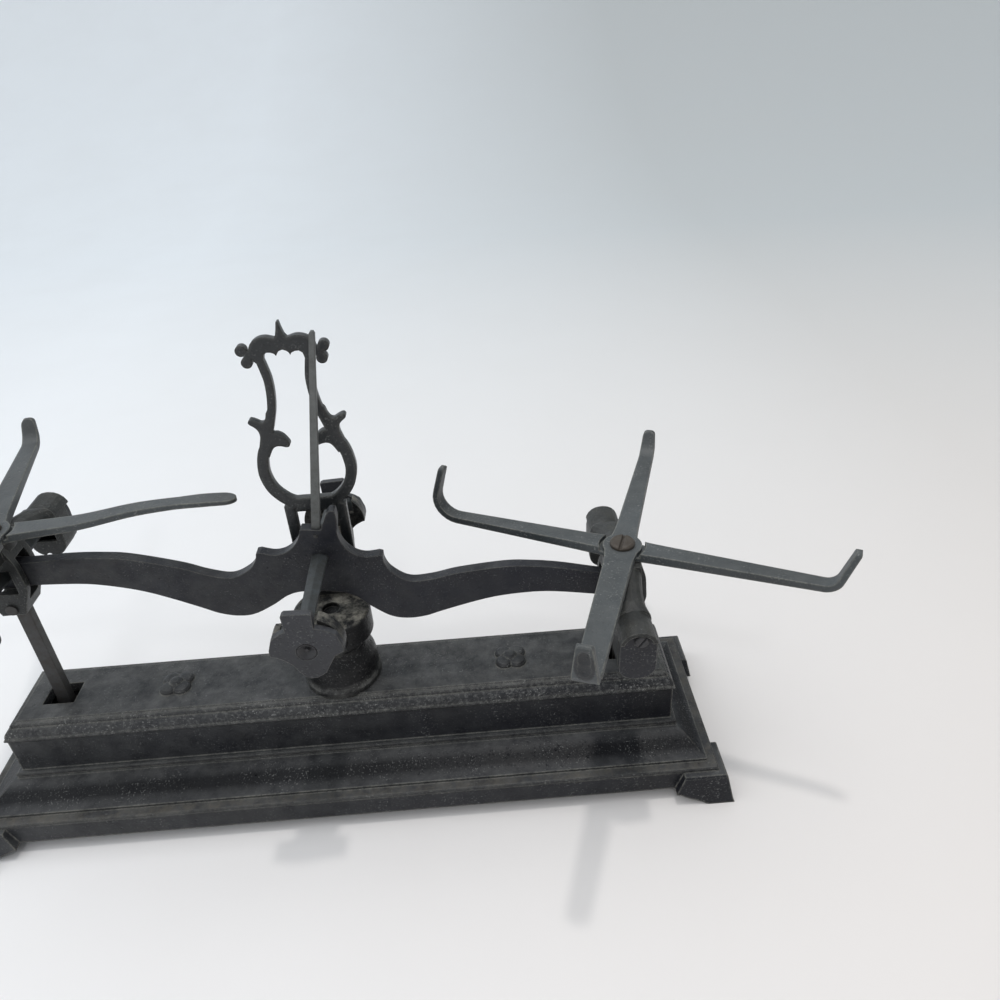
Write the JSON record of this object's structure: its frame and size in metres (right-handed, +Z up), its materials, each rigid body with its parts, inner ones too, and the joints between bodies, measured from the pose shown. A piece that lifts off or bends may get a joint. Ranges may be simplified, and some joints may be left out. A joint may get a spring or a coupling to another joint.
{
  "type": "counter balance scale",
  "caption": "Cast iron counter balance with a knife-edge beam, a lyre-framed needle, swivelling pan crosses on hanging supports and a stay hidden in the hollow base.",
  "frame": {"origin": "middle of the base on the table, under the beam's pivot", "axes": "+X along the base towards the lower end of the beam, +Y away from the needle's side, +Z up"},
  "size_m": [0.4402, 0.1777, 0.2226],
  "materials": {
    "black_casting": "blackened, worn",
    "column_casting": "blackened, rough",
    "olive_casting": "blackened, rough",
    "grey_iron": "worn to dull grey",
    "brown_steel": "dull, browned",
    "bright_steel": "dull, oiled"
  },
  "bodies": {
    "base": {"base_casting": "black_casting", "column": "column_casting", "column_bolt": "bright_steel", "stay_bracket": "column_casting", "stay_pin": "bright_steel", "lyre": "column_casting", "lyre_screws": "brown_steel", "centre_bearing_front": "bright_steel", "centre_bearing_rear": "bright_steel", "centre_cover_front": "grey_iron", "centre_cover_rear": "grey_iron", "centre_cover_screws": "brown_steel"},
    "beam": {"beam": "black_casting", "needle": "grey_iron", "needle_pin": "bright_steel", "centre_knife": "bright_steel", "end_knife_left": "bright_steel", "end_knife_right": "bright_steel"},
    "left_support": {"support_left": "olive_casting", "end_bearings_left": "bright_steel", "end_cover_left_front": "column_casting", "end_cover_left_rear": "column_casting", "end_cover_screws_left": "brown_steel", "rod_left": "bright_steel", "rod_rivet_left": "bright_steel", "cross_screw_left": "brown_steel"},
    "right_support": {"support_right": "olive_casting", "end_bearings_right": "bright_steel", "end_cover_right_front": "column_casting", "end_cover_right_rear": "column_casting", "end_cover_screws_right": "brown_steel", "rod_right": "bright_steel", "rod_rivet_right": "bright_steel", "cross_screw_right": "brown_steel"},
    "left_cross": {"cross_left_lower_bar": "grey_iron", "cross_left_upper_bar": "grey_iron"},
    "right_cross": {"cross_right_lower_bar": "grey_iron", "cross_right_upper_bar": "grey_iron"},
    "stay": {"stay": "bright_steel", "stay_end_pins": "bright_steel"}
  },
  "joints": [
    {"name": "beam_swing", "type": "hinge", "parent": "base", "child": "beam", "pos_m": [0, 0, 0.1175], "axis": [0, 1, 0], "range_deg": [-13.6, 0]},
    {"name": "left_support_hang", "type": "hinge", "parent": "beam", "child": "left_support", "pos_m": [-0.13284, 0, 0.12931], "axis": [0, 1, 0], "range_deg": [0, 13.6]},
    {"name": "right_support_hang", "type": "hinge", "parent": "beam", "child": "right_support", "pos_m": [0.13189, 0, 0.09774], "axis": [0, 1, 0], "range_deg": [0, 13.6]},
    {"name": "stay_swing", "type": "hinge", "parent": "base", "child": "stay", "pos_m": [0, 0, 0.03], "axis": [0, 1, 0], "range_deg": [-13.6, 0]},
    {"name": "left_cross_turn", "type": "hinge", "parent": "left_support", "child": "left_cross", "pos_m": [-0.13284, 0, 0.14211], "axis": [0, 0, 1], "continuous": true},
    {"name": "right_cross_turn", "type": "hinge", "parent": "right_support", "child": "right_cross", "pos_m": [0.13189, 0, 0.11054], "axis": [0, 0, 1], "continuous": true}
  ],
  "couplings": [
    {"joint": "left_support_hang", "follows": "beam_swing", "ratio": -1},
    {"joint": "right_support_hang", "follows": "beam_swing", "ratio": -1},
    {"joint": "stay_swing", "follows": "beam_swing", "ratio": 1}
  ]
}
